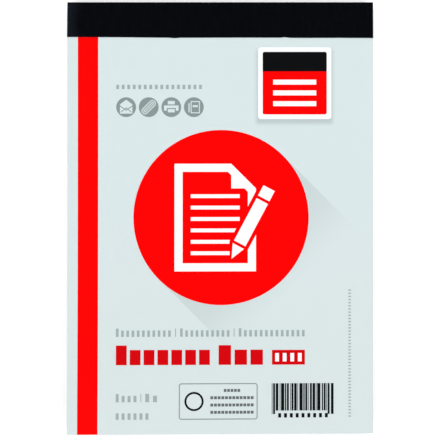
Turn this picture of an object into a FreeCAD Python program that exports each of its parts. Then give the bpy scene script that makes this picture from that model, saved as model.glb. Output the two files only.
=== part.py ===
import FreeCAD, Part
import math
import os

# An A6 writing pad bound at its head, lying on its back board. Millimetres.
# X runs across the width, +Y to the bound head, +Z up through the thickness.
# The origin is under the middle of the pad, on the surface that it lies on.

# Sheets, board and cover
SHEET_WIDTH = 105.0
SHEET_HEIGHT = 148.0
LEAF_COUNT = 100
LEAF_THICKNESS = 0.08
BOARD_THICKNESS = 0.6
COVER_THICKNESS = 0.2

# Head binding: a film of glue, and a cloth tape folded round the head
GLUE_THICKNESS = 0.25
TAPE_THICKNESS = 0.2
TAPE_FRONT = 12.0
TAPE_BACK = 13.0

# The cover's turning part lies loose on the sheets, and creases at the tape's edge
COVER_REST_GAP = 0.05
CREASE_GAP = 0.05

# Thickness of a layer of ink, and the ruling of the sheets
INK = 0.02
RULING_PITCH = 8.0
RULING_LINE = 0.25
RULING_HEAD_MARGIN = 14.0
RULING_TAIL_MARGIN = 6.0

# Stripe down the left side
STRIPE_MARGIN = 3.6
STRIPE_WIDTH = 7.0

# Disc near the middle of the pad, and the long flat shade that it throws towards the lower right
DISC_RADIUS = 30.1
DISC_X = 0.3
DISC_Y = 0.2
SHADE_LENGTH = 35.0
SHADE_ANGLE = -45.0

# Pictogram on the disc: an outlined sheet with a folded corner, ruled lines and a pencil
NOTE_WIDTH = 28.0
NOTE_HEIGHT = 37.0
NOTE_LEFT = 2.0
NOTE_OUTLINE = 2.8
NOTE_EAR = 8.5
NOTE_LINES = 6
NOTE_LINE = 1.3
NOTE_LINE_MARGIN = 5.6
NOTE_LINES_TOP = 11.8
PENCIL_WIDTH = 4.4
PENCIL_LENGTH = 27.5
PENCIL_TIP = 5.0
PENCIL_BAND = 1.0
PENCIL_ANGLE = 62.0
PENCIL_RIGHT = 3.6
PENCIL_DOWN = 14.2
PENCIL_CLEARANCE = 1.3

# Rows of small blocks stand where a cover has its words. A ratio is a block's pitch over its height,
# and a share is a block's width over its pitch.
TEXT_MARGIN = 16.8
LETTER_RATIO = 0.8
TITLE_RATIO = 0.9
WIDE_LETTER_RATIO = 1.2
CAPITAL_RATIO = 1.3
BLOCK_SHARE = 0.5
BOLD_SHARE = 0.78
LIGHT_SHARE = 0.4
SEPARATOR = 0.3
HEAD_ROW_DOWN = 17.9
HEAD_ROW_HEIGHT = 1.5
HEAD_ROW_LENGTH = 29.4
SUBTITLE_UP = 33.5
SUBTITLE_HEIGHT = 2.2
SUBTITLE_LENGTHS = (18.8, 16.9, 22.6)
SUBTITLE_GAP = 3.2
TITLE_UP = 23.8
TITLE_HEIGHT = 5.2
TITLE_LENGTHS = (32.2, 15.2)
TITLE_GAP = 3.0
SIZE_ROW_UP = 11.1
NUMBER_ROW_UP = 5.1
FOOT_ROW_HEIGHT = 2.2
SIZE_ROW_LENGTHS = (7.1, 4.0)
SIZE_ROW_GAP = 3.0
NUMBER_ROW_LENGTH = 11.2

# Tag at the end of the title
TAG_GAP = 3.1
TAG_WIDTH = 11.3
TAG_HEIGHT = 5.1
TAG_MARGIN = 1.1

# Row of round symbols
SYMBOL_RADIUS = 3.4
SYMBOL_PITCH = 7.75
SYMBOL_DOWN = 24.1
SYMBOL_LINE = 0.35
ENVELOPE_WIDTH = 4.3
ENVELOPE_HEIGHT = 3.2
ENVELOPE_FLAP = 1.6
ENVELOPE_FOLD = 1.5
CLIP_LENGTH = 6.0
CLIP_WIDTH = 2.4
CLIP_ANGLE = 45.0
PRINTER_WIDTH = 5.0
PRINTER_HEIGHT = 1.8
PRINTER_DROP = 0.3
PRINTER_PAPER = 2.4
PRINTER_PAPER_HEIGHT = 1.2
SHEET_SYMBOL_WIDTH = 3.2
SHEET_SYMBOL_HEIGHT = 4.2
SHEET_SYMBOL_RIGHT = 0.5
SHEET_SYMBOL_EDGE = 0.4

# Label at the upper right: white rim, dark head band, red field with three bars
LABEL_MARGIN = 14.3
LABEL_DOWN = 3.5
LABEL_WIDTH = 25.2
LABEL_HEIGHT = 24.7
LABEL_RIM = 1.6
LABEL_RADIUS = 1.0
LABEL_FIELD_RADIUS = 0.7
LABEL_BAND = 6.7
LABEL_BARS = 3
LABEL_BAR = 1.7
LABEL_BAR_MARGIN = 3.6

# Outlined box at the foot, with a plain ring and lines
BOX_LEFT = 38.4
BOX_UP = 5.0
BOX_WIDTH = 27.0
BOX_HEIGHT = 12.5
BOX_LINE = 0.35
BOX_RADIUS = 0.9
RING_RADIUS = 3.3
RING_LINE = 0.7
RING_MARGIN = 5.2
BOX_TEXT_MARGIN = 10.8
BOX_TEXT_END = 1.4
BOX_TEXT_LINES = 4
BOX_TEXT_HEIGHT = 1.0
BOX_TEXT_PITCH = 2.5
BOX_TEXT_INDENT = 4.6

# Upright bars at the foot, which hold no code, and a row of blocks under them
BARS_MARGIN = 13.35
BARS_UP = 8.0
BARS_LENGTH = 21.4
BARS_HEIGHT = 9.4
BARS_GUARD = 1.2
BARS_GUARDS = 2
BAR_WIDTHS = (1, 3, 4, 1, 5, 2, 3)
BAR_GAPS = (1, 1, 2, 1)
BAR_UNITS = 95
BARS_ROW_GAP = 0.9
BARS_ROW_HEIGHT = 1.5
BARS_ROW_MARGIN = 2.2

# Small upright row of blocks near the right edge
SIDE_ROW_MARGIN = 7.6
SIDE_ROW_UP = 5.8
SIDE_ROW_LENGTH = 43.8
SIDE_ROW_HEIGHT = 0.9

# Levels, from the surface up
BOARD_Z = TAPE_THICKNESS
BLOCK_Z = BOARD_Z + BOARD_THICKNESS
BLOCK_THICKNESS = LEAF_COUNT * LEAF_THICKNESS
STRIP_Z = BLOCK_Z + BLOCK_THICKNESS
STRIP_TOP_Z = STRIP_Z + COVER_THICKNESS
COVER_Z = STRIP_Z + COVER_REST_GAP
INK_Z = COVER_Z + COVER_THICKNESS

# Lines across the pad, from the tail to the head
LEFT = -SHEET_WIDTH / 2
RIGHT = SHEET_WIDTH / 2
HEAD = (SHEET_HEIGHT + GLUE_THICKNESS + TAPE_THICKNESS) / 2
TAIL = -HEAD
BLOCK_HEAD = TAIL + SHEET_HEIGHT
TAPE_EDGE = HEAD - TAPE_FRONT
TAPE_BACK_EDGE = HEAD - TAPE_BACK
COVER_HEAD = TAPE_EDGE - CREASE_GAP
TEXT_LEFT = LEFT + TEXT_MARGIN
TITLE_Y = TAIL + TITLE_UP


def point(y, z):
    return FreeCAD.Vector(LEFT, y, z)


def slab(x0, y0, x1, y1, z, thickness):
    return Part.makeBox(x1 - x0, y1 - y0, thickness, FreeCAD.Vector(x0, y0, z))


def line(a, b):
    return Part.LineSegment(a, b).toShape()


def quarter(centre_y, centre_z, radius, start, end):
    """An arc of a quarter turn in the pad's side view, between two angles in degrees."""
    places = []
    for angle in (start, (start + end) / 2, end):
        turn = math.radians(angle)
        places.append(point(centre_y + radius * math.cos(turn), centre_z + radius * math.sin(turn)))
    return Part.Arc(*places).toShape()


def across(edges):
    """A side-view outline, drawn out over the width of the pad."""
    return Part.Face(Part.Wire(edges)).extrude(FreeCAD.Vector(SHEET_WIDTH, 0, 0))


def back_board():
    """One board. Its lower face has two fields: the bare one, and the one that the tape covers."""
    bare = slab(LEFT, TAIL, RIGHT, TAPE_BACK_EDGE, BOARD_Z, BOARD_THICKNESS)
    taped = slab(LEFT, TAPE_BACK_EDGE, RIGHT, BLOCK_HEAD, BOARD_Z, BOARD_THICKNESS)
    return bare.fuse(taped)


def paper_block():
    return slab(LEFT, TAIL, RIGHT, BLOCK_HEAD, BLOCK_Z, BLOCK_THICKNESS)


def page_ruling():
    """Ruled lines on the top sheet, from edge to edge."""
    lines = []
    y = TAPE_EDGE - RULING_HEAD_MARGIN
    while y > TAIL + RULING_TAIL_MARGIN:
        lines.append(slab(LEFT, y, RIGHT, y + RULING_LINE, STRIP_Z, INK))
        y -= RULING_PITCH
    return Part.makeCompound(lines)


def head_glue():
    """The film on the head of the board, the sheets and the cover, round at both edges."""
    low = BOARD_Z + GLUE_THICKNESS
    high = STRIP_TOP_Z - GLUE_THICKNESS
    outside = BLOCK_HEAD + GLUE_THICKNESS
    return across([
        quarter(BLOCK_HEAD, low, GLUE_THICKNESS, -90, 0),
        line(point(outside, low), point(outside, high)),
        quarter(BLOCK_HEAD, high, GLUE_THICKNESS, 0, 90),
        line(point(BLOCK_HEAD, STRIP_TOP_Z), point(BLOCK_HEAD, BOARD_Z)),
    ])


def binding_tape():
    """Cloth tape: a leg on the cover, a wall over the glue, and a leg under the board."""
    low = BOARD_Z + GLUE_THICKNESS
    high = STRIP_TOP_Z - GLUE_THICKNESS
    inside = BLOCK_HEAD + GLUE_THICKNESS
    bend = GLUE_THICKNESS + TAPE_THICKNESS
    top = STRIP_TOP_Z + TAPE_THICKNESS
    return across([
        line(point(TAPE_EDGE, top), point(BLOCK_HEAD, top)),
        quarter(BLOCK_HEAD, high, bend, 90, 0),
        line(point(HEAD, high), point(HEAD, low)),
        quarter(BLOCK_HEAD, low, bend, 0, -90),
        line(point(BLOCK_HEAD, 0), point(TAPE_BACK_EDGE, 0)),
        line(point(TAPE_BACK_EDGE, 0), point(TAPE_BACK_EDGE, BOARD_Z)),
        line(point(TAPE_BACK_EDGE, BOARD_Z), point(BLOCK_HEAD, BOARD_Z)),
        quarter(BLOCK_HEAD, low, GLUE_THICKNESS, -90, 0),
        line(point(inside, low), point(inside, high)),
        quarter(BLOCK_HEAD, high, GLUE_THICKNESS, 0, 90),
        line(point(BLOCK_HEAD, STRIP_TOP_Z), point(TAPE_EDGE, STRIP_TOP_Z)),
        line(point(TAPE_EDGE, STRIP_TOP_Z), point(TAPE_EDGE, top)),
    ])


def front_cover():
    return slab(LEFT, TAIL, RIGHT, COVER_HEAD, COVER_Z, COVER_THICKNESS)


def front_cover_bound_strip():
    return slab(LEFT, TAPE_EDGE, RIGHT, BLOCK_HEAD, STRIP_Z, COVER_THICKNESS)


def field(x0, y0, x1, y1):
    """A printed rectangle, in the first layer on the cover."""
    return slab(x0, y0, x1, y1, INK_Z, INK)


def disc(x, y, radius):
    return Part.makeCylinder(radius, INK, FreeCAD.Vector(x, y, INK_Z))


def polygon(corners):
    places = [FreeCAD.Vector(x, y, INK_Z) for x, y in corners]
    return Part.Face(Part.makePolygon(places + places[:1])).extrude(FreeCAD.Vector(0, 0, INK))


def rounded(x0, y0, x1, y1, radius):
    """A printed rectangle with round corners."""
    whole = field(x0, y0, x1, y1)
    upright = [e for e in whole.Edges if abs(e.BoundBox.ZLength - INK) < INK / 2]
    return whole.makeFillet(radius, upright)


def turned(shape, angle, x, y):
    """A copy of a printed shape, turned about a point of the cover."""
    result = shape.copy()
    result.rotate(FreeCAD.Vector(x, y, 0), FreeCAD.Vector(0, 0, 1), angle)
    return result


def row(x, y, length, height, ratio=LETTER_RATIO, share=BLOCK_SHARE, capital=1.0):
    """A word's place: a row of blocks, the first one as tall as a capital."""
    count = max(1, round(length / (height * ratio)))
    pitch = length / (count - 1 + share)
    blocks = []
    for i in range(count):
        tall = height * (capital if i == 0 else 1.0)
        left = x + i * pitch
        blocks.append(field(left, y, left + pitch * share, y + tall))
    return blocks


def words(x, y, lengths, height, gap, ratio, share):
    """Several rows on one line, and the x at which the line ends."""
    blocks = []
    for length in lengths:
        blocks += row(x, y, length, height, ratio, share, CAPITAL_RATIO)
        x += length + gap
    return blocks, x - gap


def separators(x, y, lengths, height, gap):
    """Thin upright lines between the words of a row."""
    bars = []
    for length in lengths[:-1]:
        x += length + gap
        left = x - (gap + SEPARATOR) / 2
        bars.append(field(left, y, left + SEPARATOR, y + height * CAPITAL_RATIO))
    return bars


def stripe():
    left = LEFT + STRIPE_MARGIN
    return field(left, TAIL, left + STRIPE_WIDTH, COVER_HEAD)


def shade():
    """The disc swept towards the lower right, as far as the shade reaches, without the disc."""
    angle = math.radians(SHADE_ANGLE)
    along = (SHADE_LENGTH * math.cos(angle), SHADE_LENGTH * math.sin(angle))
    aside = (DISC_RADIUS * math.sin(angle), -DISC_RADIUS * math.cos(angle))
    band = polygon([
        (DISC_X - aside[0], DISC_Y - aside[1]),
        (DISC_X - aside[0] + along[0], DISC_Y - aside[1] + along[1]),
        (DISC_X + aside[0] + along[0], DISC_Y + aside[1] + along[1]),
        (DISC_X + aside[0], DISC_Y + aside[1]),
    ])
    return band.cut(disc(DISC_X, DISC_Y, DISC_RADIUS))


def note_outline(inset):
    """The pictogram's sheet, or the same shape smaller by an inset on every side."""
    left = DISC_X - NOTE_WIDTH / 2 - NOTE_LEFT + inset
    right = DISC_X + NOTE_WIDTH / 2 - NOTE_LEFT - inset
    low = DISC_Y - NOTE_HEIGHT / 2 + inset
    high = DISC_Y + NOTE_HEIGHT / 2 - inset
    ear = NOTE_EAR + inset * (math.sqrt(2) - 2)
    return polygon([(left, low), (right, low), (right, high - ear), (right - ear, high), (left, high)])


def pencil(clearance):
    """A pencil standing on its tip, and wider and longer by a clearance where it is knocked out."""
    x = DISC_X + PENCIL_RIGHT
    y = DISC_Y - PENCIL_DOWN
    half = PENCIL_WIDTH / 2 + clearance
    shape = polygon([
        (x - clearance, y),
        (x + PENCIL_TIP, y - half),
        (x + PENCIL_LENGTH + clearance, y - half),
        (x + PENCIL_LENGTH + clearance, y + half),
        (x + PENCIL_TIP, y + half),
    ])
    return turned(shape, PENCIL_ANGLE, x, y)


def pencil_bands():
    """Two lines across the pencil: at the end of its tip and below its top."""
    x = DISC_X + PENCIL_RIGHT
    y = DISC_Y - PENCIL_DOWN
    bands = []
    for place in (PENCIL_TIP, PENCIL_LENGTH - PENCIL_TIP):
        band = field(x + place, y - PENCIL_WIDTH, x + place + PENCIL_BAND, y + PENCIL_WIDTH)
        bands.append(turned(band, PENCIL_ANGLE, x, y))
    return bands


def pictogram():
    """All bare parts of the disc, as one shape to be left out of the ink."""
    sheet = note_outline(0).cut(note_outline(NOTE_OUTLINE))
    right = DISC_X + NOTE_WIDTH / 2 - NOTE_LEFT
    high = DISC_Y + NOTE_HEIGHT / 2
    ear = polygon([
        (right - NOTE_EAR, high),
        (right, high - NOTE_EAR),
        (right - NOTE_EAR, high - NOTE_EAR),
    ])
    left = DISC_X - NOTE_WIDTH / 2 - NOTE_LEFT + NOTE_LINE_MARGIN
    end = right - NOTE_LINE_MARGIN
    low = DISC_Y - NOTE_HEIGHT / 2 + NOTE_LINE_MARGIN
    top = high - NOTE_LINES_TOP
    pitch = (top - low) / (NOTE_LINES - 1)
    lines = [field(left, low + i * pitch, end, low + i * pitch + NOTE_LINE) for i in range(NOTE_LINES)]
    drawn = sheet.fuse([ear] + lines).cut(pencil(PENCIL_CLEARANCE))
    return drawn.fuse(pencil(0).cut(pencil_bands()))


def envelope(x, y):
    """An open envelope: a pale body with its flap up, and two crossed fold lines."""
    half = ENVELOPE_WIDTH / 2
    low = y - (ENVELOPE_HEIGHT + ENVELOPE_FLAP - SYMBOL_LINE) / 2
    high = low + ENVELOPE_HEIGHT
    tip = high + ENVELOPE_FLAP
    body = polygon([(x - half, low), (x + half, low), (x + half, high), (x, tip), (x - half, high)])
    return body.cut([
        bent_line(x, half, high - SYMBOL_LINE, -ENVELOPE_FOLD),
        bent_line(x, half - SYMBOL_LINE, low + 2 * SYMBOL_LINE, ENVELOPE_FOLD),
    ])


def bent_line(x, half, y, rise):
    """A thin line bent at its middle, where it has risen from its two ends."""
    low = y - SYMBOL_LINE
    upper = [(x - half, y), (x, y + rise), (x + half, y)]
    return polygon(upper + [(x + half, low), (x, low + rise), (x - half, low)])


def capsule(x, y, length, width):
    """A printed bar with round ends, along X, about its middle."""
    reach = (length - width) / 2
    bar = field(x - reach, y - width / 2, x + reach, y + width / 2)
    return bar.fuse([disc(x - reach, y, width / 2), disc(x + reach, y, width / 2)]).removeSplitter()


def loop(x, y, length, width):
    """A pale line round a bar with round ends."""
    space = capsule(x, y, length - 2 * SYMBOL_LINE, width - 2 * SYMBOL_LINE)
    return capsule(x, y, length, width).cut(space)


def clip(x, y):
    """A paper clip: one long loop inside another."""
    inset = 4 * SYMBOL_LINE
    inner = loop(x, y, CLIP_LENGTH - inset, CLIP_WIDTH - inset)
    return turned(loop(x, y, CLIP_LENGTH, CLIP_WIDTH).fuse(inner), CLIP_ANGLE, x, y)


def printer(x, y):
    """A printer: paper above, the body, and a sheet that comes out below."""
    half = PRINTER_WIDTH / 2
    side = PRINTER_PAPER / 2
    low = y - PRINTER_DROP - PRINTER_HEIGHT / 2
    high = low + PRINTER_HEIGHT
    slot = field(x - side - SYMBOL_LINE, low, x + side + SYMBOL_LINE, y - PRINTER_DROP)
    sheet = field(x - side, low - PRINTER_PAPER_HEIGHT / 2, x + side, y - PRINTER_DROP - SYMBOL_LINE)
    paper = field(x - side, high + SYMBOL_LINE, x + side, high + SYMBOL_LINE + PRINTER_PAPER_HEIGHT)
    return field(x - half, low, x + half, high).cut(slot).fuse([sheet, paper])


def small_sheet(x, y):
    """Two sheets: a framed one with a line on it, and the edge of the other behind it."""
    middle = x + SHEET_SYMBOL_RIGHT
    half = SHEET_SYMBOL_WIDTH / 2
    tall = SHEET_SYMBOL_HEIGHT / 2
    rim = SYMBOL_LINE
    window = field(middle - half + rim, y - tall + rim, middle + half - rim, y + tall - rim)
    written = field(middle - half + 2 * rim, y, middle + half - 2 * rim, y + 2 * rim)
    edge_right = middle - half - rim
    edge = field(edge_right - SHEET_SYMBOL_EDGE, y - tall + rim, edge_right, y + tall - 2 * rim)
    return field(middle - half, y - tall, middle + half, y + tall).cut(window).fuse([written, edge])


def symbol_places():
    y = TAPE_EDGE - SYMBOL_DOWN
    first = TEXT_LEFT + SYMBOL_RADIUS
    return [(first + i * SYMBOL_PITCH, y) for i in range(len(SYMBOLS))]


SYMBOLS = (envelope, clip, printer, small_sheet)


def tag_box():
    x = title()[1] + TAG_GAP
    return x, TITLE_Y, x + TAG_WIDTH, TITLE_Y + TAG_HEIGHT


def title():
    return words(TEXT_LEFT, TITLE_Y, TITLE_LENGTHS, TITLE_HEIGHT, TITLE_GAP, TITLE_RATIO, BOLD_SHARE)


def label_box(inset):
    right = RIGHT - LABEL_MARGIN
    top = TAPE_EDGE - LABEL_DOWN
    return right - LABEL_WIDTH + inset, top - LABEL_HEIGHT + inset, right - inset, top - inset


def label_halves():
    """The label inside its rim, as its dark head band and what lies under it."""
    x0, y0, x1, y1 = label_box(LABEL_RIM)
    inside = rounded(x0, y0, x1, y1, LABEL_FIELD_RADIUS)
    under = field(x0, y0, x1, y1 - LABEL_BAND)
    return inside.cut(under), inside.common(under)


def label_field():
    """The label's red field, with bare bars on it."""
    x0, y0, x1, y1 = label_box(LABEL_RIM)
    pitch = (y1 - LABEL_BAND - y0) / (LABEL_BARS + 1)
    bars = []
    for i in range(LABEL_BARS):
        y = y0 + (i + 1) * pitch - LABEL_BAR / 2
        bars.append(field(x0 + LABEL_BAR_MARGIN, y, x1 - LABEL_BAR_MARGIN, y + LABEL_BAR))
    return label_halves()[1].cut(bars)


def foot_box(inset):
    left = LEFT + BOX_LEFT
    low = TAIL + BOX_UP
    return left + inset, low + inset, left + BOX_WIDTH - inset, low + BOX_HEIGHT - inset


def foot_box_outline():
    radius = BOX_RADIUS - BOX_LINE
    return rounded(*foot_box(0), BOX_RADIUS).cut(rounded(*foot_box(BOX_LINE), radius))


def foot_box_print():
    """A plain ring, and lines of blocks beside it."""
    x0, y0, x1, y1 = foot_box(0)
    x = x0 + RING_MARGIN
    y = (y0 + y1) / 2
    marks = [disc(x, y, RING_RADIUS).cut(disc(x, y, RING_RADIUS - RING_LINE))]
    low = y - ((BOX_TEXT_LINES - 1) * BOX_TEXT_PITCH + BOX_TEXT_HEIGHT) / 2
    left = x0 + BOX_TEXT_MARGIN
    length = x1 - BOX_TEXT_END - left
    for i in range(BOX_TEXT_LINES):
        indent = BOX_TEXT_INDENT if i == BOX_TEXT_LINES - 1 else 0.0
        y = low + i * BOX_TEXT_PITCH
        marks += row(left + indent, y, length - 2 * indent, BOX_TEXT_HEIGHT, WIDE_LETTER_RATIO, BOLD_SHARE)
    return marks


def upright_bars():
    """Bars of a few widths, the first and last two longer, and a row of blocks below."""
    left = RIGHT - BARS_MARGIN - BARS_LENGTH
    low = TAIL + BARS_UP
    unit = BARS_LENGTH / BAR_UNITS
    spans = []
    at = 0
    while at < BAR_UNITS:
        i = len(spans)
        wide = min(BAR_WIDTHS[i % len(BAR_WIDTHS)], BAR_UNITS - at)
        spans.append((at, at + wide))
        at += wide + BAR_GAPS[i % len(BAR_GAPS)]
    bars = []
    for i, (start, end) in enumerate(spans):
        outer = min(i, len(spans) - 1 - i) < BARS_GUARDS
        foot = low - BARS_GUARD if outer else low
        bars.append(field(left + start * unit, foot, left + end * unit, low + BARS_HEIGHT))
    y = low - BARS_ROW_GAP - BARS_ROW_HEIGHT
    row_length = BARS_LENGTH - 2 * BARS_ROW_MARGIN
    return bars + row(left + BARS_ROW_MARGIN, y, row_length, BARS_ROW_HEIGHT, WIDE_LETTER_RATIO)


def side_row():
    x = RIGHT - SIDE_ROW_MARGIN
    y = TAIL + SIDE_ROW_UP
    flat = row(x, y, SIDE_ROW_LENGTH, SIDE_ROW_HEIGHT, WIDE_LETTER_RATIO, LIGHT_SHARE)
    return [turned(block, 90, x, y) for block in flat]


def knocked_out():
    """Where the tint and shade leave the card free: the stripe, disc, tag and label."""
    return [
        stripe(),
        disc(DISC_X, DISC_Y, DISC_RADIUS),
        field(*tag_box()),
        rounded(*label_box(0), LABEL_RADIUS),
    ]


def red_fields():
    """The red on bare card: the stripe, the disc round its pictogram, the tag and the label's field."""
    x0, y0, x1, y1 = tag_box()
    holes = row(x0 + TAG_MARGIN, y0 + TAG_MARGIN, TAG_WIDTH - 2 * TAG_MARGIN, TAG_HEIGHT - 2 * TAG_MARGIN)
    tag = field(x0, y0, x1, y1).cut(holes)
    round_field = disc(DISC_X, DISC_Y, DISC_RADIUS).cut(pictogram())
    return [stripe(), round_field, tag, label_field()]


def grey_marks():
    """The row of symbols, and the rows of blocks in grey."""
    shapes = []
    for draw, (x, y) in zip(SYMBOLS, symbol_places()):
        shapes.append(disc(x, y, SYMBOL_RADIUS).cut(draw(x, y)))
    y = TAPE_EDGE - HEAD_ROW_DOWN
    shapes += row(TEXT_LEFT, y, HEAD_ROW_LENGTH, HEAD_ROW_HEIGHT, WIDE_LETTER_RATIO)
    for y, lengths, height, gap in (
        (TAIL + SUBTITLE_UP, SUBTITLE_LENGTHS, SUBTITLE_HEIGHT, SUBTITLE_GAP),
        (TAIL + SIZE_ROW_UP, SIZE_ROW_LENGTHS, FOOT_ROW_HEIGHT, SIZE_ROW_GAP),
    ):
        shapes += words(TEXT_LEFT, y, lengths, height, gap, LETTER_RATIO, BLOCK_SHARE)[0]
        shapes += separators(TEXT_LEFT, y, lengths, height, gap)
    shapes += row(TEXT_LEFT, TAIL + NUMBER_ROW_UP, NUMBER_ROW_LENGTH, FOOT_ROW_HEIGHT)
    return shapes + side_row() + [foot_box_outline()]


def overprinted(shapes):
    """The same shapes in the second layer, on top of the tint or the shade."""
    return [shape.translated(FreeCAD.Vector(0, 0, INK)) for shape in shapes]


def solids(shapes):
    """The shapes of one ink, as one group of separate solids."""
    return Part.makeCompound([solid for shape in shapes for solid in shape.Solids])


def cover_print():
    """The inks of the cover. Tint, shade and fields lie side by side, and the marks lie on the tint."""
    free = knocked_out()
    band = shade().cut(free)
    ground = field(LEFT, TAIL, RIGHT, COVER_HEAD).cut(free + [band])
    return {
        "cover_print_tint": solids([ground]),
        "cover_print_shade": solids([band]),
        "cover_print_red": solids(red_fields() + overprinted(title()[0])),
        "cover_print_grey": solids(overprinted(grey_marks())),
        "cover_print_black": solids([label_halves()[0]] + overprinted(foot_box_print() + upright_bars())),
    }


def main():
    nodes = {
        "back_board": back_board(),
        "paper_block": paper_block(),
        "page_ruling": page_ruling(),
        "head_glue": head_glue(),
        "binding_tape": binding_tape(),
        "front_cover": front_cover(),
        "front_cover_bound_strip": front_cover_bound_strip(),
    }
    nodes.update(cover_print())
    os.makedirs("parts", exist_ok=True)
    for name, shape in nodes.items():
        shape.exportStep(f"parts/{name}.step")


main()
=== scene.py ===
import math
import random

import bpy
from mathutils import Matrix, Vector, noise


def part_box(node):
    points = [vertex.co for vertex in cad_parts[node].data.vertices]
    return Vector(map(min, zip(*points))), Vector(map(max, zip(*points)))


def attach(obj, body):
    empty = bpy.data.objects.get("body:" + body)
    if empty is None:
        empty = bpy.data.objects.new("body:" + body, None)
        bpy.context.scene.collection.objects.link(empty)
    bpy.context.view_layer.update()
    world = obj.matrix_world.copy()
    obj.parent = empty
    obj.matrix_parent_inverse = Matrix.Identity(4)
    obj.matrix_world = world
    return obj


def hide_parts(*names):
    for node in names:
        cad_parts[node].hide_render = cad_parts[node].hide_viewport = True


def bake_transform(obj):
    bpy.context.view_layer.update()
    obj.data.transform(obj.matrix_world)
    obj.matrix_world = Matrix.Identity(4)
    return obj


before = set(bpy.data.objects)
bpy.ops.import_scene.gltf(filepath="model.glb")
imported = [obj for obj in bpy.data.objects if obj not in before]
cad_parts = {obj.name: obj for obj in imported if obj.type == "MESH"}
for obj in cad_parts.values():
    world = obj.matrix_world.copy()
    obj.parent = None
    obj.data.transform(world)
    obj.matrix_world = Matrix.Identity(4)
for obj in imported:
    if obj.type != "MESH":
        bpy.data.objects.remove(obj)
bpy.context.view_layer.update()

# A top-bound writing pad: leaves on a board, cloth tape round the head, and a printed cover that
# turns over the head. Shapes are in metres, and MM turns millimetres into metres. The design of
# the print and the patterns of the finishes are in plain millimetres.
MM = 0.001

# Places that the frame gives: corners of the nodes, the tape's edge on the cover, and levels
BOARD_LOW, BOARD_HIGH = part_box("back_board")
BLOCK_LOW, BLOCK_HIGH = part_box("paper_block")
TAPE_LOW, TAPE_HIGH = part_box("binding_tape")
STRIP_LOW, STRIP_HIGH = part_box("front_cover_bound_strip")
COVER_LOW, COVER_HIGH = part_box("front_cover")
TAPE_EDGE = STRIP_LOW.y
TAPE_THICK = BOARD_LOW.z - TAPE_LOW.z
PRINT_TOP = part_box("cover_print_grey")[1].z

# The cover bends over a short stretch, just below the tape's edge
BEND_START = 0.35 * MM
BEND_LENGTH = 0.9 * MM
BEND_STEPS = 13
BEND_TOP = TAPE_EDGE - BEND_START
BEND_END = BEND_TOP - BEND_LENGTH

# Grid on which the cover and its print are scored, so that they curl alike, and how close two
# points are welded into one
SCORE_ACROSS = 15.0 * MM
SCORE_ALONG = 7.0 * MM
WELD = 0.001 * MM

# How far the free end of the block springs up at the tail: left corner, middle and right corner
SPRING_LEFT = 0.45 * MM
SPRING_MIDDLE = 0.2 * MM
SPRING_RIGHT = 0.65 * MM
SPRING_ACROSS_POWER = 1.5
SPRING_ALONG_POWER = 2.4
CAGE_POINTS = (5, 7, 2)

# The tail was trimmed a little out of square, longer at the left, where its corner also leans out
TRIM_LEFT = -0.25 * MM
TRIM_RIGHT = 0.36 * MM
TRIM_LEAN = -0.32 * MM

# Leaves of the block: how many, the air between them, how far each one strays and the pile
# drifts, how fast it drifts from leaf to leaf, the cells of a leaf's mesh, and the random seed
LEAVES = 100
LEAF_AIR = 0.006 * MM
LEAF_STRAY = 0.05 * MM
LEAF_DRIFT = 0.06 * MM
LEAF_DRIFT_STEP = 0.09
LEAF_CELLS = (5, 8)
LEAF_SEED = 7

# Worn corners and edges of the board, and the rise past which an edge of it stands up
BOARD_CORNER = 0.5 * MM
BOARD_WEAR = 0.07 * MM
UPRIGHT_RISE = 0.1 * MM

# The tape lifts at its front edge, bulges over the head, and stands a little past the pad's sides.
# The reach of its spread is in millimetres of cloth from the front edge.
TAPE_COLUMNS = 140
TAPE_LEG_STEPS = 24
TAPE_ROUND_STEPS = 5
TAPE_WALL_STEPS = 16
TAPE_RISE = 0.1 * MM
TAPE_RISE_REACH = 0.6 * MM
TAPE_BULGE = 0.09 * MM
TAPE_SPREAD_LEFT = 0.13 * MM
TAPE_SPREAD_RIGHT = 0.08 * MM
TAPE_SPREAD_POWER = 8
TAPE_SPREAD_REACH = 13.0
TAPE_WAVE = 0.02 * MM
TAPE_LONG_WAVE = 5.0 * MM
TAPE_SHORT_WAVE = 1.3 * MM

# The tape's cut edges stray from straight: the front edge's two ends, its nicks as (place, width,
# depth) in millimetres, its roughness, how far the stray reaches and how much the back edge has
EDGE_LEFT = 0.05 * MM
EDGE_RIGHT = -0.33 * MM
EDGE_NICKS = ((-15.6, 1.4, -0.16), (-16.0, 17.0, -0.14), (22.2, 0.9, 0.2), (29.0, 6.0, -0.06))
EDGE_ROUGH = 0.04
EDGE_ROUGH_SCALE = 0.7
EDGE_REACH = 4.0
BACK_EDGE_SHARE = 0.4

# Camera, straight above the pad, as fitted to its outline and print in the picture
CAMERA_LENS = 120.0
CAMERA_SENSOR = 36.0
CAMERA_PLACE = Vector((-0.066, -0.634, 512.922)) * MM
CAMERA_NEAR = 0.01
CAMERA_FAR = 20.0

# Floor that sweeps up into a wall, in metres, with a faint glow that keeps it pale round the pad
FLOOR_START = 0.4
FLOOR_RADIUS = 2.2
FLOOR_SWEEP = 0.8
FLOOR_WALL = 1.0
FLOOR_SIDES = 96
SWEEP_STEPS = 8
FLOOR = (0.955, 0.955, 0.955)
GLOW = 0.09

# Soft boxes round the pad, as (name, azimuth in degrees, power), all at one height and distance
LIGHTS = (
    ("left_box", 145, 7.0),
    ("right_box", 35, 7.0),
    ("near_left_box", 230, 6.2),
    ("near_right_box", 310, 6.2),
)
LIGHT_ELEVATION = 50
LIGHT_DISTANCE = 1.25
LIGHT_SIZE = (0.9, 0.6)
AIR = (0.9, 0.95, 1.0)
AIR_STRENGTH = 0.03

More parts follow.
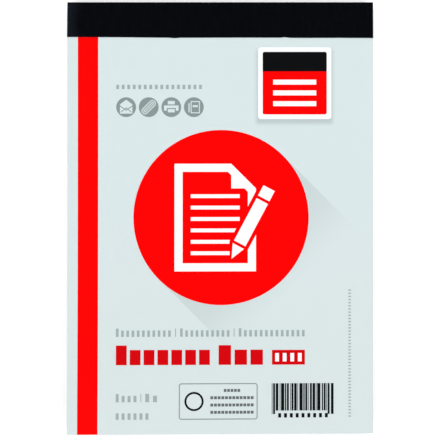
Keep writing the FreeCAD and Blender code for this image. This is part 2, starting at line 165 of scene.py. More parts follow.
# Design of the print, in millimetres from the pad's middle
DISC_X = 0.3
DISC_Y = 0.2
STRIPE_MIDDLE = -45.4
STRIPE_HALF = 3.5
TITLE_ROWS = (-55.0, -37.0)
TITLE_LEFT = -40.0
SYMBOL_ROWS = (34.0, 42.5)
BOX_ROWS = (-70.0, -55.0)
BOX_SIDES = (-16.0, 14.0)
BOX_WORDS_SIDES = (-5.0, 14.0)

# The disc's long shade runs down to the right, and its darkness fades along its reach
SHADE_REACH = 35.0
SHADE_FADE = ((0.4, 0.13), (0.62, 0.1), (0.75, 0.058), (0.87, 0.026), (1.0, 0.0))

# The label's soft printed shadow, in millimetres, with its darkness and the power of its fading
LABEL_MIDDLE = (25.55, 46.3)
LABEL_HALF = (12.1, 11.8)
LABEL_DROP = 1.1
LABEL_BLUR = 2.4
LABEL_SHADOW = 0.24
LABEL_FADE = 1.4

# Colours, linear
CARD = (0.73, 0.745, 0.75)
CARD_BACK = (0.53, 0.525, 0.505)
TINT_HEAD = (0.52, 0.596, 0.602)
TINT_TAIL = (0.517, 0.575, 0.579)
RED = (0.74, 0.0003, 0.0004)
RED_WORDS = (0.5, 0.0009, 0.003)
GREY = (0.19, 0.234, 0.236)
GREY_WORDS = (0.27, 0.325, 0.327)
BLACK = (0.0026, 0.0029, 0.0035)
BLACK_WORDS = (0.1, 0.113, 0.115)
LEAF = (0.62, 0.622, 0.612)
LEAF_CUT = (0.7, 0.703, 0.695)
# Painted shade in the lines between the leaves at their cut edges
LEAF_SHADE = (0.41, 0.414, 0.416)
RULE = (0.27, 0.38, 0.52)
BOARD = (0.3, 0.285, 0.255)
BOARD_FLECK = (0.14, 0.13, 0.115)
BOARD_FIBRE = (0.46, 0.44, 0.4)
GLUE = (0.74, 0.73, 0.66)
THREAD = (0.0005, 0.0008, 0.0016)
THREAD_HIGH = (0.0016, 0.0022, 0.0038)
# Painted sheen: the lighter, bluer thread colour at the tape's left end
THREAD_PAINTED_SHEEN = (0.0065, 0.0085, 0.0135)

# Where the tint turns from the tail's colour to the head's, and where the painted sheen on the tape's
# left end fades out
TINT_DRIFT = (-74.0, 62.0)
TAPE_PAINTED_SHEEN = (-51.8, -46.0)

# Surfaces: roughness of coated card and of its bare back, the tooth and waves of the card, and
# the weave and rumples of the tape
COATED_ROUGHNESS = 0.3
BACK_ROUGHNESS = 0.7
TOOTH_SIZE = 0.22
TOOTH_DEPTH = 0.0008 * MM
WAVE_SIZE = 3.5
WAVE_DEPTH = 0.005 * MM
THREAD_PITCH = 0.42
WEAVE_DEPTH = 0.045 * MM
RUMPLE_DEPTH = 0.12 * MM


def deselect():
    if bpy.context.object and bpy.context.object.mode != "OBJECT":
        bpy.ops.object.mode_set(mode="OBJECT")
    bpy.ops.object.select_all(action="DESELECT")


def pick(piece):
    """Makes a piece the only one selected, and the active one."""
    deselect()
    piece.select_set(True)
    bpy.context.view_layer.objects.active = piece
    return piece


def edit(piece, mode="VERT"):
    """Opens a piece in edit mode with nothing selected."""
    pick(piece)
    bpy.ops.object.mode_set(mode="EDIT")
    bpy.ops.mesh.select_mode(type=mode)
    bpy.ops.mesh.select_all(action="DESELECT")


def close(piece):
    """Leaves edit mode."""
    bpy.ops.object.mode_set(mode="OBJECT")
    return piece


def settle(piece):
    """Puts a piece's place, turn and size into its mesh."""
    pick(piece)
    bpy.ops.object.transform_apply(location=True, rotation=True, scale=True)
    return piece


def named(name):
    """Names the object that was just added."""
    piece = bpy.context.object
    piece.name = name
    piece.data.name = name
    return piece


def block(name, low, high):
    """A rectangular blank between two corners."""
    deselect()
    bpy.ops.mesh.primitive_cube_add(size=1, location=(low + high) / 2)
    piece = named(name)
    piece.scale = high - low
    return settle(piece)


def modify(piece, kind, **settings):
    """Adds a modifier, sets it and applies it."""
    pick(piece)
    bpy.ops.object.modifier_add(type=kind)
    modifier = piece.modifiers[-1]
    for key, value in settings.items():
        setattr(modifier, key, value)
    bpy.ops.object.modifier_apply(modifier=modifier.name)
    return piece


def select_edges(piece, test):
    """Selects, in code, the edges whose two ends pass a test. The piece is open in edit mode."""
    bpy.ops.object.mode_set(mode="OBJECT")
    mesh = piece.data
    for edge in mesh.edges:
        a, b = (mesh.vertices[i].co for i in edge.vertices)
        edge.select = test(a, b)
    bpy.ops.object.mode_set(mode="EDIT")


def smooth(piece, angle=35.0):
    """Shades a piece smooth where its faces meet at less than an angle in degrees."""
    pick(piece)
    bpy.ops.object.shade_smooth_by_angle(angle=math.radians(angle))
    return piece


def flatten(piece, test):
    """Shades flat the faces whose middles pass a test."""
    edit(piece, "FACE")
    bpy.ops.object.mode_set(mode="OBJECT")
    for face in piece.data.polygons:
        face.select = test(face.center)
    bpy.ops.object.mode_set(mode="EDIT")
    bpy.ops.mesh.faces_shade_flat()
    return close(piece)


def lay_map(piece, name, places):
    """Gives a piece a UV map, from each vertex's place on it."""
    layer = piece.data.uv_layers.new(name=name)
    for loop in piece.data.loops:
        layer.data[loop.index].uv = places[loop.vertex_index]


def seen_from_above(piece):
    """The places of a piece's vertices in millimetres, as seen from above."""
    return [(vertex.co.x / MM, vertex.co.y / MM) for vertex in piece.data.vertices]


def printed_side(piece):
    """1 for the vertices on the cover card's printed side, 0 for those on its back."""
    middle = (COVER_LOW.z + COVER_HIGH.z) / 2
    return [(1.0 if vertex.co.z > middle else 0.0, 0.0) for vertex in piece.data.vertices]


class Wire:
    """An output of a finish's node. Arithmetic written with it becomes Math nodes."""

    def __init__(self, finish, socket):
        self.finish = finish
        self.socket = socket

    def __add__(self, other):
        return self.finish.maths("ADD", self, other)

    def __radd__(self, other):
        return self.finish.maths("ADD", other, self)

    def __sub__(self, other):
        return self.finish.maths("SUBTRACT", self, other)

    def __rsub__(self, other):
        return self.finish.maths("SUBTRACT", other, self)

    def __mul__(self, other):
        return self.finish.maths("MULTIPLY", self, other)

    def __rmul__(self, other):
        return self.finish.maths("MULTIPLY", other, self)

    def __pow__(self, other):
        return self.finish.maths("POWER", self, other)

    def about(self, middle, spread):
        """A value from 0 to 1, spread about a middle instead."""
        return self * spread + (middle - spread / 2)


class Finish:
    """A material under construction."""

    def __init__(self, name, **constants):
        self.material = bpy.data.materials.new(name)
        self.material.use_nodes = True
        self.nodes = self.material.node_tree.nodes
        self.links = self.material.node_tree.links
        self.shader = self.nodes["Principled BSDF"]
        for key, value in constants.items():
            self.shader.inputs[key.replace("_", " ")].default_value = value

    def join(self, value, socket):
        """Links a wire to a socket, or sets the socket to a value."""
        if isinstance(value, Wire):
            self.links.new(value.socket, socket)
        else:
            socket.default_value = value

    def node(self, kind, settings=None, inputs=None, output=0):
        """Any node: its settings first, then the values or links of its sockets."""
        made = self.nodes.new("ShaderNode" + kind)
        for key, value in (settings or {}).items():
            if key == "stops":
                self.set_stops(made.color_ramp, value)
            else:
                setattr(made, key, value)
        for key, value in (inputs or {}).items():
            self.join(value, made.inputs[key])
        return Wire(self, made.outputs[output])

    @staticmethod
    def set_stops(ramp, stops):
        while len(ramp.elements) < len(stops):
            ramp.elements.new(1.0)
        for element, (place, value) in zip(ramp.elements, stops):
            element.position = place
            element.color = (value, value, value, 1.0)

    def maths(self, operation, *values):
        return self.node("Math", {"operation": operation}, dict(enumerate(values)))

    def ramp(self, value, stops):
        """A value through straight stretches between stops of (place, value)."""
        return self.node("ValToRGB", {"stops": stops}, {"Fac": value})

    def between(self, value, low, high):
        """From 0 at low to 1 at high, smoothly."""
        settings = {"interpolation_type": "SMOOTHSTEP"}
        return self.node("MapRange", settings, {"Value": value, "From Min": low, "From Max": high})

    def inside(self, value, low, high):
        """1 where a value lies between two limits."""
        return self.maths("GREATER_THAN", value, low) * self.maths("LESS_THAN", value, high)

    def mix(self, factor, a, b):
        """A colour between two colours."""
        inputs = {"Factor": factor, 6: self.colour(a), 7: self.colour(b)}
        return self.node("Mix", {"data_type": "RGBA"}, inputs, output=2)

    def tone(self, colour, factor):
        """A colour made darker or lighter by a factor."""
        return self.node("VectorMath", {"operation": "SCALE"}, {0: colour, "Scale": factor})

    @staticmethod
    def colour(value):
        return value if isinstance(value, Wire) else (*value, 1.0)

    def flat(self):
        """The place on the piece's own flat map, in millimetres."""
        return self.node("UVMap", {"uv_map": "flat"})

    def solid(self):
        """The place in the piece, in millimetres."""
        place = self.node("TexCoord", output=3)
        return self.node("VectorMath", {"operation": "SCALE"}, {0: place, "Scale": 1 / MM})

    def split(self, vector):
        """The x, y and z of a place."""
        separated = self.node("SeparateXYZ", None, {0: vector}).socket.node
        return [Wire(self, socket) for socket in separated.outputs]

    def facing_up(self):
        """How much a surface faces up: 1 on top, 0 on a side, -1 below."""
        _, _, up = self.split(self.node("NewGeometry", output=1))
        return up

    def stretched(self, vector, sizes):
        """A place with each direction divided by the size that a pattern has there."""
        scale = tuple(1 / size for size in sizes)
        return self.node("VectorMath", {"operation": "MULTIPLY"}, {0: vector, 1: scale})

    def cloud(self, vector, size=1.0, detail=2.0, roughness=0.5):
        """Soft noise from 0 to 1 with lumps of about a size."""
        inputs = {"Vector": vector, "Scale": 1 / size, "Detail": detail, "Roughness": roughness}
        return self.node("TexNoise", None, inputs)

    def relief(self, height, depth, normal=None):
        """A bump whose height is given from 0 to 1, with its depth in metres."""
        inputs = {"Height": height, "Distance": depth}
        if normal:
            inputs["Normal"] = normal
        return self.node("Bump", None, inputs)

    def done(self, **inputs):
        """Joins wires to the shader's own inputs."""
        for key, value in inputs.items():
            self.join(value, self.shader.inputs[key.replace("_", " ")])
        return self.material


def card_tooth(finish, place):
    """The smooth surface of coated card: a very fine tooth on soft, wide waves."""
    fine = finish.cloud(place, TOOTH_SIZE, detail=3.0, roughness=0.6)
    waves = finish.cloud(place, WAVE_SIZE, detail=1.0)
    return finish.relief(fine, TOOTH_DEPTH, finish.relief(waves, WAVE_DEPTH))


def card_roughness(finish, place, middle):
    """An almost even sheen. Seen from low down, a more varied one would look speckled."""
    return finish.cloud(place, 1.4).about(middle, 0.015)


def card_mottle(finish, place):
    """The faint cloudiness of card, as a factor near 1."""
    return finish.cloud(place, 1.1, detail=3.0).about(1.0, 0.02)


def tint_colour(finish, place):
    """The pale ground of the cover: a little bluer towards the head, with a faint press mottle."""
    _, y, _ = finish.split(place)
    ground = finish.mix(finish.between(y, *TINT_DRIFT), TINT_TAIL, TINT_HEAD)
    fine = finish.cloud(place, 0.9).about(1.0, 0.012)
    wide = finish.cloud(place, 24.0).about(0.0, 0.014)
    return finish.tone(ground, fine + wide)


def under_label(finish, place):
    """How deep a place lies in the label's soft shadow, from 0 to 1. The shadow falls downwards."""
    x, y, _ = finish.split(place)
    middle_x, middle_y = LABEL_MIDDLE
    half_x, half_y = LABEL_HALF
    across = finish.maths("ABSOLUTE", x - middle_x)
    along = finish.maths("ABSOLUTE", y - (middle_y - LABEL_DROP))
    out_x = finish.maths("MAXIMUM", across - half_x, 0.0)
    out_y = finish.maths("MAXIMUM", along - half_y, 0.0)
    away = finish.maths("SQRT", out_x * out_x + out_y * out_y)
    return (1.0 - finish.between(away, 0.0, LABEL_BLUR)) ** LABEL_FADE


def tint_finish():
    """The pale tint, with the label's soft shadow on it."""
    finish = Finish("tint_ink", Specular_IOR_Level=0.2)
    place = finish.flat()
    light = 1.0 - LABEL_SHADOW * under_label(finish, place)
    return finish.done(
        Base_Color=finish.tone(tint_colour(finish, place), light),
        Roughness=card_roughness(finish, place, COATED_ROUGHNESS),
        Normal=card_tooth(finish, place),
    )


def shade_finish():
    """The tint, darker under the disc's long shade, which fades out along its length."""
    finish = Finish("shade_ink", Specular_IOR_Level=0.2)
    place = finish.flat()
    x, y, _ = finish.split(place)
    along = ((x - DISC_X) - (y - DISC_Y)) * (math.sqrt(0.5) / SHADE_REACH)
    light = 1.0 - finish.ramp(along, SHADE_FADE)
    return finish.done(
        Base_Color=finish.tone(tint_colour(finish, place), light),
        Roughness=card_roughness(finish, place, COATED_ROUGHNESS),
        Normal=card_tooth(finish, place),
    )


def solid_ink(name, colour, words_colour, in_words, roughness, variation):
    """Ink on coated card: full in large fields, and weaker in words, where in_words gives 1."""
    finish = Finish(name, Specular_IOR_Level=0.1)
    place = finish.flat()
    x, y, _ = finish.split(place)
    ink = finish.mix(in_words(finish, x, y), colour, words_colour)
    mottle = finish.cloud(place, 0.7, detail=3.0).about(1.0, variation)
    return finish.done(
        Base_Color=finish.tone(ink, mottle),
        Roughness=card_roughness(finish, place, roughness),
        Normal=card_tooth(finish, place),
    )


def red_words(finish, x, y):
    """The title and its tag, below the disc and right of the stripe."""
    return finish.inside(y, *TITLE_ROWS) * finish.maths("GREATER_THAN", x, TITLE_LEFT)


def grey_words(finish, x, y):
    """All grey print but the round symbols and the outline of the box at the foot."""
    symbols = finish.inside(y, *SYMBOL_ROWS)
    box = finish.inside(y, *BOX_ROWS) * finish.inside(x, *BOX_SIDES)
    return 1.0 - finish.maths("MAXIMUM", symbols, box)


def black_words(finish, x, y):
    """The small rows in the box at the foot."""
    return finish.inside(y, *BOX_ROWS) * finish.inside(x, *BOX_WORDS_SIDES)


def red_finish():
    return solid_ink("red_ink", RED, RED_WORDS, red_words, roughness=0.27, variation=0.03)


def grey_finish():
    return solid_ink("grey_ink", GREY, GREY_WORDS, grey_words, roughness=0.31, variation=0.06)


def black_finish():
    return solid_ink("black_ink", BLACK, BLACK_WORDS, black_words, roughness=0.28, variation=0.2)


def card_finish():
    """The cover's bare card: coated white on its printed side, uncoated and greyer on its back."""
    finish = Finish("cover_card", Specular_IOR_Level=0.2)
    place = finish.flat()
    side, _, _ = finish.split(finish.node("UVMap", {"uv_map": "side"}))
    fibres = finish.cloud(finish.stretched(place, (0.9, 0.25, 1.0)), detail=3.0, roughness=0.6)
    front = finish.tone(CARD, card_mottle(finish, place))
    back = finish.tone(CARD_BACK, fibres.about(1.0, 0.06))
    smoother = finish.between(side, 0.0, 1.0) * (BACK_ROUGHNESS - COATED_ROUGHNESS)
    return finish.done(
        Base_Color=finish.mix(side, back, front),
        Roughness=card_roughness(finish, place, BACK_ROUGHNESS) - smoother,
        Normal=card_tooth(finish, place),
    )


def strip_finish():
    """The cover's bound strip: the pale ground and the red stripe run on under the tape."""
    finish = Finish("bound_strip", Specular_IOR_Level=0.2)
    place = finish.solid()
    x, _, _ = finish.split(place)
    stripe = finish.maths("LESS_THAN", finish.maths("ABSOLUTE", x - STRIPE_MIDDLE), STRIPE_HALF)
    print_side = finish.maths("GREATER_THAN", finish.facing_up(), 0.5)
    surface = finish.mix(print_side, CARD, finish.mix(stripe, TINT_HEAD, RED))
    return finish.done(
        Base_Color=finish.tone(surface, card_mottle(finish, place)),
        Roughness=card_roughness(finish, place, COATED_ROUGHNESS),
        Normal=card_tooth(finish, place),
    )


def leaf_finish():
    """Uncoated writing paper. At its cut edges each leaf has a tone of its own, and painted shade
    darkens the lines between leaves.
    """
    finish = Finish("writing_paper", Specular_IOR_Level=0.2)
    place = finish.solid()
    layers = finish.cloud(finish.stretched(place, (40.0, 40.0, 0.075)), detail=3.0, roughness=0.7)
    bundles = finish.cloud(finish.stretched(place, (25.0, 25.0, 0.5)), detail=3.0, roughness=0.6)
    fibres = finish.cloud(place, 0.16, detail=3.0, roughness=0.6)
    # Cut edges: the leaves' own tones, mixed with painted shade between them (LEAF_SHADE)
    cut = finish.mix(finish.between(layers * 0.5 + bundles * 0.5, 0.38, 0.62), LEAF_SHADE, LEAF_CUT)
    face = finish.between(finish.maths("ABSOLUTE", finish.facing_up()), 0.5, 0.9)
    return finish.done(
        Base_Color=finish.tone(finish.mix(face, cut, LEAF), fibres.about(1.0, 0.03)),
        Roughness=fibres.about(0.83, 0.1),
        Normal=finish.relief(fibres * 0.6 + layers * 0.4, 0.02 * MM),
    )


def ruling_finish():
    """Pale blue rules, a little uneven along their length."""
    finish = Finish("ruling_ink", Specular_IOR_Level=0.2)
    place = finish.solid()
    wear = finish.cloud(finish.stretched(place, (1.6, 0.3, 1.0)))
    return finish.done(
        Base_Color=finish.mix(wear * 0.5, RULE, LEAF),
        Roughness=wear.about(0.8, 0.1),
        Normal=finish.relief(finish.cloud(place, 0.16, detail=3.0), 0.01 * MM),
    )


def board_finish():
    """Grey board of waste paper: fibres, and dark and pale flecks, with layers at its cut edge."""
    finish = Finish("grey_board", Specular_IOR_Level=0.2)
    place = finish.solid()
    pulp = finish.cloud(place, 1.7, detail=4.0, roughness=0.65)
    fibres = finish.cloud(finish.stretched(place, (2.4, 0.3, 0.12)), detail=4.0, roughness=0.7)
    cross = finish.cloud(finish.stretched(place, (0.3, 1.9, 0.12)), detail=4.0, roughness=0.7)
    flecks = finish.node("TexVoronoi", None, {"Vector": place, "Scale": 0.55, "Randomness": 1.0})
    dark = (1.0 - finish.between(flecks, 0.06, 0.2)) * finish.between(pulp, 0.45, 0.6)
    base = finish.mix(finish.between(fibres, 0.45, 0.75), BOARD, BOARD_FIBRE)
    base = finish.mix(finish.between(cross, 0.55, 0.8) * 0.6, base, BOARD_FIBRE)
    base = finish.mix(dark * 0.7, base, BOARD_FLECK)
    return finish.done(
        Base_Color=finish.tone(base, pulp.about(1.0, 0.2)),
        Roughness=pulp.about(0.87, 0.1),
        Normal=finish.relief(fibres * 0.5 + cross * 0.5, 0.05 * MM),
    )


def glue_finish():
    """Dried padding glue, a little glossy and uneven."""
    finish = Finish("padding_glue", Specular_IOR_Level=0.4)
    lumps = finish.cloud(finish.solid(), 0.8, detail=3.0)
    return finish.done(
        Base_Color=finish.tone(GLUE, lumps.about(1.0, 0.16)),
        Roughness=lumps.about(0.45, 0.2),
        Normal=finish.relief(lumps, 0.04 * MM),
    )


def tape_finish():
    """Black cloth tape: a plain weave, with slubs, dust in the threads and a painted sheen that makes
    its left end greyer.
    """
    finish = Finish("cloth_tape", Specular_IOR_Level=0.02)
    place = finish.flat()
    x, y, _ = finish.split(place)
    bend = finish.cloud(place, 3.0) * 0.25
    turn = math.pi / THREAD_PITCH
    warp = finish.maths("SINE", (x + bend) * turn)
    weft = finish.maths("SINE", (y + bend) * turn)
    side = finish.between(warp * weft, -0.25, 0.25)
    weave = finish.maths("ABSOLUTE", warp) * side + finish.maths("ABSOLUTE", weft) * (1.0 - side)
    slubs = finish.cloud(finish.stretched(place, (0.5, 7.0, 1.0)), detail=3.0, roughness=0.6)
    rumples = finish.cloud(finish.stretched(place, (6.0, 2.2, 1.0)))
    dust = finish.cloud(place, 0.35, detail=4.0, roughness=0.7)
    # Painted sheen: the tape's left end is painted lighter and bluer, where light catches it
    painted_sheen = 1.0 - finish.between(x + finish.cloud(place, 9.0) * 3.0, *TAPE_PAINTED_SHEEN)
    thread = finish.mix(weave * finish.between(slubs, 0.35, 0.7), THREAD, THREAD_HIGH)
    thread = finish.mix(painted_sheen * 0.85, thread, THREAD_PAINTED_SHEEN)
    cloth = finish.relief(rumples, RUMPLE_DEPTH)
    return finish.done(
        Base_Color=finish.tone(thread, dust.about(1.0, 0.6)),
        Roughness=dust.about(0.375, 0.15),
        Normal=finish.relief(weave * 0.8 + slubs * 0.2, WEAVE_DEPTH, cloth),
    )


def floor_finish():
    finish = Finish("pale_floor", Specular_IOR_Level=0.1, Roughness=0.9, Emission_Strength=GLOW)
    grain = finish.cloud(finish.solid(), 3.0, detail=3.0).about(0.995, 0.01)
    pale = finish.tone(FLOOR, grain)
    return finish.done(Base_Color=pale, Emission_Color=pale)


def merged_copy(node, name):
    """A copy of a CAD node's mesh as a piece of its own, with its loose triangles welded."""
    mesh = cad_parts[node].data.copy()
    mesh.materials.clear()
    piece = bpy.data.objects.new(name, mesh)
    bpy.context.collection.objects.link(piece)
    mesh.name = name
    edit(piece)
    bpy.ops.mesh.select_all(action="SELECT")
    bpy.ops.mesh.remove_doubles(threshold=WELD)
    return close(piece)


def score_lines():
    """Where the cover is scored: across the pad, then along it, finely where it bends."""
    across = []
    x = COVER_LOW.x + SCORE_ACROSS
    while x < COVER_HIGH.x:
        across.append(x)
        x += SCORE_ACROSS
    along = [BEND_TOP - BEND_LENGTH * i / (BEND_STEPS - 1) for i in range(BEND_STEPS)]
    y = along[-1] - SCORE_ALONG
    while y > COVER_LOW.y:
        along.append(y)
        y -= SCORE_ALONG
    return across, along


def score(piece, lines, direction):
    """Cuts a piece's faces along planes, so that it can bend there."""
    normal = Vector(direction)
    reach = [Vector(corner) @ normal for corner in piece.bound_box]
    edit(piece)
    for line in lines:
        if min(reach) < line < max(reach):
            bpy.ops.mesh.select_all(action="SELECT")
            bpy.ops.mesh.bisect(plane_co=normal * line, plane_no=normal)
    return close(piece)


def spring_lattice():
    """A cage round the block, whose top rises towards the tail as the loose leaves spring up."""
    low = Vector((BLOCK_LOW.x, BLOCK_LOW.y, BLOCK_LOW.z))
    high = Vector((BLOCK_HIGH.x, TAPE_EDGE, PRINT_TOP))
    size = high - low
    deselect()
    bpy.ops.object.add(type="LATTICE", location=(low + high) / 2)
    cage = bpy.context.object
    cage.scale = size
    cage.data.points_u, cage.data.points_v, cage.data.points_w = CAGE_POINTS
    for place in cage.data.points:
        u, v, w = (c + 0.5 for c in place.co)
        corner = SPRING_LEFT if u < 0.5 else SPRING_RIGHT
        spread = abs(2 * u - 1) ** SPRING_ACROSS_POWER
        rise = SPRING_MIDDLE + (corner - SPRING_MIDDLE) * spread
        trim = TRIM_LEFT + (TRIM_RIGHT - TRIM_LEFT) * u
        place.co_deform.z += w * rise * (1 - v) ** SPRING_ALONG_POWER / size.z
        place.co_deform.y += trim * (1 - v) ** 2 / size.y
        place.co_deform.x += TRIM_LEAN * (1 - u) ** 2 * (1 - v) ** 3 / size.x
    return cage


def spring(piece, cage):
    return modify(piece, "LATTICE", object=cage)


def upright(a, b):
    """Whether an edge between two points stands up."""
    return abs(a.z - b.z) > UPRIGHT_RISE


def lying(a, b):
    return not upright(a, b)


def make_board():
    """The grey board, with its cut edges and corners a little worn round."""
    board = block("grey_back_board", BOARD_LOW, BOARD_HIGH)
    edit(board, "EDGE")
    select_edges(board, upright)
    bpy.ops.mesh.bevel(offset=BOARD_CORNER, segments=4, affect="EDGES")
    bpy.ops.mesh.select_all(action="DESELECT")
    select_edges(board, lying)
    bpy.ops.mesh.bevel(offset=BOARD_WEAR, segments=2, affect="EDGES")
    return smooth(close(board), 50.0)


def make_leaf(thickness):
    """One leaf at the bottom of the block, thick enough to be seen as a sheet."""
    size = BLOCK_HIGH - BLOCK_LOW
    middle = (BLOCK_LOW + BLOCK_HIGH) / 2
    cells_x, cells_y = LEAF_CELLS
    deselect()
    bpy.ops.mesh.primitive_grid_add(
        x_subdivisions=cells_x, y_subdivisions=cells_y, size=1,
        location=(middle.x, middle.y, BLOCK_LOW.z))
    leaf = named("writing_leaves")
    leaf.scale = (size.x, size.y, 1)
    settle(leaf)
    return modify(leaf, "SOLIDIFY", thickness=thickness, offset=1.0)


def copy_leaf(first, number, pitch, chance):
    """A leaf higher up the block, a little out of line at its three free edges."""
    leaf = bpy.data.objects.new(f"leaf_{number}", first.data.copy())
    bpy.context.collection.objects.link(leaf)
    drift = LEAF_DRIFT * noise.noise(Vector((number * LEAF_DRIFT_STEP, 0.5, 0.5)))
    slide = chance.uniform(-LEAF_STRAY, LEAF_STRAY) + drift
    short = chance.uniform(0, LEAF_STRAY) + abs(drift)
    for vertex in leaf.data.vertices:
        held = (vertex.co.y - BLOCK_LOW.y) / (BLOCK_HIGH.y - BLOCK_LOW.y)
        vertex.co.x += slide * (1 - held)
        vertex.co.y += short * (1 - held)
        vertex.co.z += number * pitch
    return leaf


def make_leaves(cage):
    """The whole block of leaves, sprung up at its free end."""
    pitch = (BLOCK_HIGH.z - BLOCK_LOW.z) / LEAVES
    chance = random.Random(LEAF_SEED)
    first = make_leaf(pitch - LEAF_AIR)
    copies = [copy_leaf(first, number, pitch, chance) for number in range(1, LEAVES)]
    pick(first)
    for leaf in copies:
        leaf.select_set(True)
    bpy.ops.object.join()
    return spring(first, cage)


def quarter_round(middle_y, middle_z, radius, start):
    """A quarter turn of the tape's path, from a direction in degrees, without its first point."""
    points = []
    for i in range(1, TAPE_ROUND_STEPS + 1):
        turn = math.radians(start - 90 * i / TAPE_ROUND_STEPS)
        points.append((middle_y + radius * math.cos(turn), middle_z + radius * math.sin(turn)))
    return points


def tape_path():
    """Middle of the tape in side view, as (y, z): front leg, head and back leg."""
    head = STRIP_HIGH.y
    bottom = TAPE_THICK / 2
    top = STRIP_HIGH.z + bottom
    bend = TAPE_HIGH.y - head - bottom
    wall = top - bottom - 2 * bend
    points = []
    for i in range(TAPE_LEG_STEPS + 1):
        y = TAPE_EDGE + (head - TAPE_EDGE) * i / TAPE_LEG_STEPS
        lift = TAPE_RISE * math.exp(-(y - TAPE_EDGE) / TAPE_RISE_REACH)
        points.append((y, top + lift))
    points += quarter_round(head, top - bend, bend, 90)
    for i in range(1, TAPE_WALL_STEPS + 1):
        bulge = TAPE_BULGE * math.sin(math.pi * i / TAPE_WALL_STEPS)
        points.append((head + bend + bulge, top - bend - wall * i / TAPE_WALL_STEPS))
    points += quarter_round(head, bottom + bend, bend, 0)
    for i in range(1, TAPE_LEG_STEPS + 1):
        points.append((head - (head - TAPE_LOW.y) * i / TAPE_LEG_STEPS, bottom))
    return points


def path_lengths(path):
    """How far along the tape each point of its path lies."""
    total = [0.0]
    for (y0, z0), (y1, z1) in zip(path, path[1:]):
        total.append(total[-1] + math.hypot(y1 - y0, z1 - z0))
    return total


def draw_tape(path):
    """A narrow strip across the pad, drawn out row by row along the tape's path."""
    (y0, z0), (y1, z1) = path[:2]
    deselect()
    bpy.ops.mesh.primitive_grid_add(
        x_subdivisions=TAPE_COLUMNS, y_subdivisions=1, size=1,
        location=((TAPE_LOW.x + TAPE_HIGH.x) / 2, (y0 + y1) / 2, z0))
    tape = named("cloth_binding_tape")
    tape.scale = (TAPE_HIGH.x - TAPE_LOW.x, y1 - y0, 1)
    settle(tape)
    edit(tape, "EDGE")
    select_edges(tape, lambda a, b: min(a.y, b.y) > y1 - WELD)
    bpy.ops.transform.translate(value=(0, 0, z1 - z0))
    for (y, z), (next_y, next_z) in zip(path[1:], path[2:]):
        bpy.ops.mesh.extrude_region_move(
            TRANSFORM_OT_translate={"value": (0, next_y - y, next_z - z)})
    return close(tape)


def places_on_cloth(tape, path, lengths):
    """Where the tape's vertices lie on the flat cloth, in millimetres across and along it."""
    places = []
    for vertex in tape.data.vertices:
        x, y, z = vertex.co
        near = min(range(len(path)), key=lambda i: math.hypot(y - path[i][0], z - path[i][1]))
        places.append((x / MM, lengths[near] / MM))
    return places


def edge_stray(x):
    """How far the tape's front edge strays from straight at a place across the pad."""
    across = (x - TAPE_LOW.x) / (TAPE_HIGH.x - TAPE_LOW.x)
    tilt = EDGE_LEFT + (EDGE_RIGHT - EDGE_LEFT) * across
    nicks = sum(depth * math.exp(-((x / MM - at) / width) ** 2) for at, width, depth in EDGE_NICKS)
    rough = EDGE_ROUGH * noise.noise(Vector((x / MM * EDGE_ROUGH_SCALE, 3.1, 0.0)))
    return tilt + (nicks + rough) * MM


def fray_tape(tape, places, span):
    """Spreads the tape's two ends at the front leg, and lets both cut edges stray."""
    for vertex, (x, along) in zip(tape.data.vertices, places):
        spread = TAPE_SPREAD_RIGHT if x > 0 else -TAPE_SPREAD_LEFT
        near_end = abs(x * MM / TAPE_HIGH.x) ** TAPE_SPREAD_POWER
        vertex.co.x += spread * near_end * max(0.0, 1 - along / TAPE_SPREAD_REACH)
        front = max(0.0, 1 - along / EDGE_REACH)
        back = max(0.0, 1 - (span - along) / EDGE_REACH)
        vertex.co.y += edge_stray(vertex.co.x) * front ** 2
        vertex.co.y += BACK_EDGE_SHARE * edge_stray(-vertex.co.x) * back ** 2


def thicken_tape(tape):
    """Gives the tape its thickness, and its upper face a slight wave."""
    modify(tape, "SOLIDIFY", thickness=TAPE_THICK, offset=0.0)
    edit(tape)
    bpy.ops.mesh.select_all(action="SELECT")
    bpy.ops.mesh.normals_make_consistent(inside=False)
    close(tape)
    for vertex in tape.data.vertices:
        if vertex.co.z > STRIP_HIGH.z + TAPE_THICK / 2:
            long_wave = noise.noise(vertex.co / TAPE_LONG_WAVE)
            short_wave = noise.noise(vertex.co / TAPE_SHORT_WAVE)
            vertex.co.z += TAPE_WAVE * (long_wave + 0.5 * short_wave)
    return smooth(tape, 60.0)


def make_tape():
    """The cloth tape, and the length that it was cut to."""
    path = tape_path()
    lengths = path_lengths(path)
    tape = draw_tape(path)
    places = places_on_cloth(tape, path, lengths)
    lay_map(tape, "flat", places)
    fray_tape(tape, places, lengths[-1] / MM)
    return thicken_tape(tape), lengths[-1]


def dress(piece, finish, nodes, body=None):
    """Gives a piece its finish, hides the nodes it stands for, and lets it ride on a body where one
    is given.
    """
    piece.data.materials.clear()
    piece.data.materials.append(finish)
    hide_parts(*nodes)
    if body:
        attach(piece, body)
    return piece


def hinge_on(piece):
    """Puts a cover piece's place, turn and size into its mesh."""
    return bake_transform(piece)


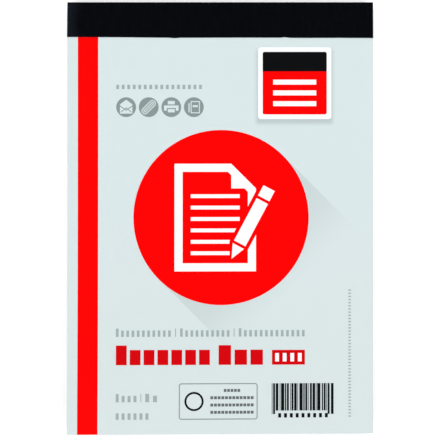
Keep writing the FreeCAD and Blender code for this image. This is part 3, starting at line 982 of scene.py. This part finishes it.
def make_cover(cage):
    """The turning cover and its print, all scored on one grid and curled by one cage."""
    across, along = score_lines()
    layers = (
        ("front_cover", "card_cover", card_finish(), "cover_card"),
        ("cover_print_tint", "pale_tint_print", tint_finish(), "tint_ink"),
        ("cover_print_shade", "long_shade_print", shade_finish(), "shade_ink"),
        ("cover_print_red", "red_print", red_finish(), "red_ink"),
        ("cover_print_grey", "grey_print", grey_finish(), "grey_ink"),
        ("cover_print_black", "black_print", black_finish(), "black_ink"),
    )
    for node, name, finish, slot in layers:
        piece = merged_copy(node, name)
        lay_map(piece, "flat", seen_from_above(piece))
        if node == "front_cover":
            lay_map(piece, "side", printed_side(piece))
        score(piece, across, (1, 0, 0))
        score(piece, along, (0, 1, 0))
        spring(piece, cage)
        flatten(smooth(piece), lambda middle: middle.y < BEND_END)
        dress(piece, finish, [node])
        hinge_on(piece)


def make_ruling(cage):
    """The rules on the top leaf, which spring up with it."""
    rules = merged_copy("page_ruling", "page_rules")
    across, _ = score_lines()
    score(rules, across, (1, 0, 0))
    spring(rules, cage)
    return dress(rules, ruling_finish(), ["page_ruling"], "pad")


def keep_node(name, finish):
    """A CAD node that stays as it is, with its own finish."""
    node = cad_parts[name]
    node.data.materials.clear()
    node.data.materials.append(finish)


def make_pad():
    """All pieces of the pad, from the board up."""
    cage = spring_lattice()
    dress(make_board(), board_finish(), ["back_board"], "pad")
    dress(make_leaves(cage), leaf_finish(), ["paper_block"], "pad")
    make_ruling(cage)
    make_cover(cage)
    keep_node("front_cover_bound_strip", strip_finish())
    keep_node("head_glue", glue_finish())
    tape, length = make_tape()
    dress(tape, tape_finish(), ["binding_tape"], "pad")
    bpy.data.objects.remove(cage)


def floor_rings():
    """The floor's rings, as (radius, height): flat, then a quarter turn upwards, then a wall."""
    flat_radius = FLOOR_RADIUS - FLOOR_SWEEP
    rings = [(flat_radius, 0.0)]
    for i in range(1, SWEEP_STEPS + 1):
        turn = math.radians(90 * i / SWEEP_STEPS)
        rings.append((flat_radius + FLOOR_SWEEP * math.sin(turn), FLOOR_SWEEP * (1 - math.cos(turn))))
    rings.append((FLOOR_RADIUS, FLOOR_SWEEP + FLOOR_WALL))
    return rings


def make_stage():
    """A pale floor that sweeps up into a wall all round."""
    deselect()
    bpy.ops.mesh.primitive_circle_add(
        vertices=FLOOR_SIDES, radius=FLOOR_START, fill_type="TRIFAN", location=(0, 0, 0))
    floor = named("pale_floor")
    edit(floor, "EDGE")
    select_edges(floor, lambda a, b: min(a.xy.length, b.xy.length) > FLOOR_START / 2)
    rim = FLOOR_START
    height = 0.0
    for ring, level in floor_rings():
        bpy.ops.mesh.extrude_region_move(TRANSFORM_OT_translate={"value": (0, 0, level - height)})
        bpy.ops.transform.resize(value=(ring / rim, ring / rim, 1))
        rim = ring
        height = level
    smooth(close(floor), 60.0)
    floor.data.materials.append(floor_finish())


def make_lights():
    """Four large soft boxes round the pad, none of them over it."""
    elevation = math.radians(LIGHT_ELEVATION)
    for name, azimuth, power in LIGHTS:
        light = bpy.data.lights.new(name, "AREA")
        light.shape = "RECTANGLE"
        light.size, light.size_y = LIGHT_SIZE
        light.energy = power
        lamp = bpy.data.objects.new(name, light)
        bpy.context.collection.objects.link(lamp)
        around = math.radians(azimuth)
        outwards = Vector((
            math.cos(elevation) * math.cos(around),
            math.cos(elevation) * math.sin(around),
            math.sin(elevation),
        ))
        lamp.location = outwards * LIGHT_DISTANCE
        lamp.rotation_euler = (-lamp.location).to_track_quat("-Z", "Y").to_euler()


def make_camera():
    """A camera that looks straight down."""
    camera = bpy.data.cameras.new("camera")
    camera.lens = CAMERA_LENS
    camera.sensor_width = CAMERA_SENSOR
    camera.clip_start = CAMERA_NEAR
    camera.clip_end = CAMERA_FAR
    stand = bpy.data.objects.new("camera", camera)
    bpy.context.collection.objects.link(stand)
    stand.location = CAMERA_PLACE
    bpy.context.scene.camera = stand


def make_world():
    """Faint even light, so that nothing is quite black."""
    world = bpy.data.worlds.new("soft_air")
    bpy.context.scene.world = world
    world.use_nodes = True
    background = world.node_tree.nodes["Background"]
    background.inputs["Color"].default_value = (*AIR, 1.0)
    background.inputs["Strength"].default_value = AIR_STRENGTH
    bpy.context.scene.view_settings.view_transform = "Standard"


make_camera()
make_pad()
make_stage()
make_lights()
make_world()
